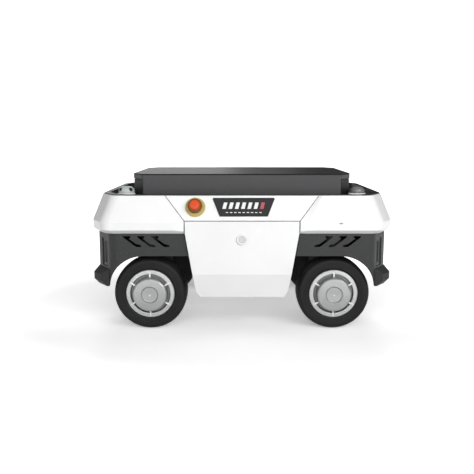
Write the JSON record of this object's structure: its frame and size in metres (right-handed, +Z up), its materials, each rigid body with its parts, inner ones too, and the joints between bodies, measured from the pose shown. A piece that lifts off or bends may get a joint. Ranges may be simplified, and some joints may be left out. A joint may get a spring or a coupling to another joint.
{
  "type": "four-wheel-steer mobile robot base",
  "caption": "Wheeled mobile robot base with white shell, flat black top cover, hub-motor wheels that each steer, side battery door and emergency stops.",
  "frame": {"origin": "on the ground under the middle of the base", "axes": "+X forward along the length, +Y to the robot's left, +Z up"},
  "size_m": [0.738, 0.515, 0.383],
  "materials": {
    "white_shell": "gloss white moulding",
    "black_body": "satin black moulding",
    "deck_black": "satin black powder coat",
    "frame_steel": "matt black powder coat",
    "lamp_lens": "smoked lens",
    "dome_grey": "gloss dark dome",
    "pod_grey": "satin grey-green housing",
    "badge_grey": "satin dark badge",
    "stop_yellow": "gloss yellow",
    "stop_red": "gloss red-orange",
    "stop_stem": "black stem",
    "battery_case": "matt dark grey case",
    "controller_case": "anodised case",
    "black_fittings": "satin black fitting",
    "zinc_steel": "bright steel",
    "gear_case": "black anodised gear housing",
    "motor_black": "black painted can",
    "knuckle_grey": "dark painted casting",
    "tyre_rubber": "matt black rubber",
    "rim_metal": "black hub motor case",
    "cover_metal": "satin bright cover"
  },
  "bodies": {
    "base": {"chassis_frame": "frame_steel", "floor_pan": "frame_steel", "front_hood": "white_shell", "rear_hood": "white_shell", "right_side_panel": "white_shell", "left_side_panel": "white_shell", "left_skirt": "white_shell", "front_fascia": "black_body", "rear_fascia": "black_body", "corner_lamps": "lamp_lens", "front_bumper": "black_body", "rear_bumper": "black_body", "deck_tray": "black_body", "deck_plate": "deck_black", "deck_frame": "deck_black", "pod_bases": "white_shell", "antenna_dome": "dome_grey", "connector_pod": "pod_grey", "nameplates": "badge_grey", "estop_collars": "stop_yellow", "battery_pack": "battery_case", "controller_box": "controller_case", "motor_drivers": "controller_case", "charge_port": "black_fittings", "hinge_brackets": "zinc_steel", "steering_reducer_front_left": "gear_case", "steering_motor_front_left": "motor_black", "steering_reducer_front_right": "gear_case", "steering_motor_front_right": "motor_black", "steering_reducer_rear_left": "gear_case", "steering_motor_rear_left": "motor_black", "steering_reducer_rear_right": "gear_case", "steering_motor_rear_right": "motor_black"},
    "door": {"battery_door": "white_shell", "latch_bezel": "white_shell"},
    "latch": {"latch_knob": "white_shell"},
    "right_estop_stem": {"right_estop_plunger": "stop_stem"},
    "right_estop_button": {"right_estop_head": "stop_red"},
    "left_estop_stem": {"left_estop_plunger": "stop_stem"},
    "left_estop_button": {"left_estop_head": "stop_red"},
    "steer_front_left": {"knuckle_front_left": "knuckle_grey", "hub_stator_front_left": "zinc_steel"},
    "wheel_front_left": {"tyre_front_left": "tyre_rubber", "wheel_hub_front_left": "rim_metal", "wheel_cover_front_left": "cover_metal"},
    "steer_front_right": {"knuckle_front_right": "knuckle_grey", "hub_stator_front_right": "zinc_steel"},
    "wheel_front_right": {"tyre_front_right": "tyre_rubber", "wheel_hub_front_right": "rim_metal", "wheel_cover_front_right": "cover_metal"},
    "steer_rear_left": {"knuckle_rear_left": "knuckle_grey", "hub_stator_rear_left": "zinc_steel"},
    "wheel_rear_left": {"tyre_rear_left": "tyre_rubber", "wheel_hub_rear_left": "rim_metal", "wheel_cover_rear_left": "cover_metal"},
    "steer_rear_right": {"knuckle_rear_right": "knuckle_grey", "hub_stator_rear_right": "zinc_steel"},
    "wheel_rear_right": {"tyre_rear_right": "tyre_rubber", "wheel_hub_rear_right": "rim_metal", "wheel_cover_rear_right": "cover_metal"}
  },
  "joints": [
    {"name": "battery_door_hinge", "type": "hinge", "parent": "base", "child": "door", "pos_m": [0, -0.222, 0.098], "axis": [1, 0, 0], "range_deg": [0, 100]},
    {"name": "door_latch_turn", "type": "hinge", "parent": "door", "child": "latch", "pos_m": [0, -0.247, 0.231], "axis": [0, -1, 0], "range_deg": [0, 90]},
    {"name": "right_estop_press", "type": "slide", "parent": "base", "child": "right_estop_stem", "axis": [0, 0.9222, -0.3867], "range_m": [0, 0.0036]},
    {"name": "right_estop_twist", "type": "hinge", "parent": "right_estop_stem", "child": "right_estop_button", "pos_m": [-0.112, -0.23245, 0.3067], "axis": [0, -0.9222, 0.3867], "range_deg": [0, 45], "stiffness_Nm_per_rad": 0.05},
    {"name": "left_estop_press", "type": "slide", "parent": "base", "child": "left_estop_stem", "axis": [0, -0.9222, -0.3867], "range_m": [0, 0.0036]},
    {"name": "left_estop_twist", "type": "hinge", "parent": "left_estop_stem", "child": "left_estop_button", "pos_m": [0.112, 0.23245, 0.3067], "axis": [0, 0.9222, 0.3867], "range_deg": [0, 45], "stiffness_Nm_per_rad": 0.05},
    {"name": "steer_front_left", "type": "hinge", "parent": "base", "child": "steer_front_left", "pos_m": [0.2265, 0.182, 0.2], "axis": [0, 0, 1], "range_deg": [-90, 90]},
    {"name": "spin_front_left", "type": "hinge", "parent": "steer_front_left", "child": "wheel_front_left", "pos_m": [0.2265, 0.182, 0.09], "axis": [0, 1, 0], "continuous": true},
    {"name": "steer_front_right", "type": "hinge", "parent": "base", "child": "steer_front_right", "pos_m": [0.2265, -0.182, 0.2], "axis": [0, 0, 1], "range_deg": [-90, 90]},
    {"name": "spin_front_right", "type": "hinge", "parent": "steer_front_right", "child": "wheel_front_right", "pos_m": [0.2265, -0.182, 0.09], "axis": [0, 1, 0], "continuous": true},
    {"name": "steer_rear_left", "type": "hinge", "parent": "base", "child": "steer_rear_left", "pos_m": [-0.2265, 0.182, 0.2], "axis": [0, 0, 1], "range_deg": [-90, 90]},
    {"name": "spin_rear_left", "type": "hinge", "parent": "steer_rear_left", "child": "wheel_rear_left", "pos_m": [-0.2265, 0.182, 0.09], "axis": [0, 1, 0], "continuous": true},
    {"name": "steer_rear_right", "type": "hinge", "parent": "base", "child": "steer_rear_right", "pos_m": [-0.2265, -0.182, 0.2], "axis": [0, 0, 1], "range_deg": [-90, 90]},
    {"name": "spin_rear_right", "type": "hinge", "parent": "steer_rear_right", "child": "wheel_rear_right", "pos_m": [-0.2265, -0.182, 0.09], "axis": [0, 1, 0], "continuous": true}
  ]
}
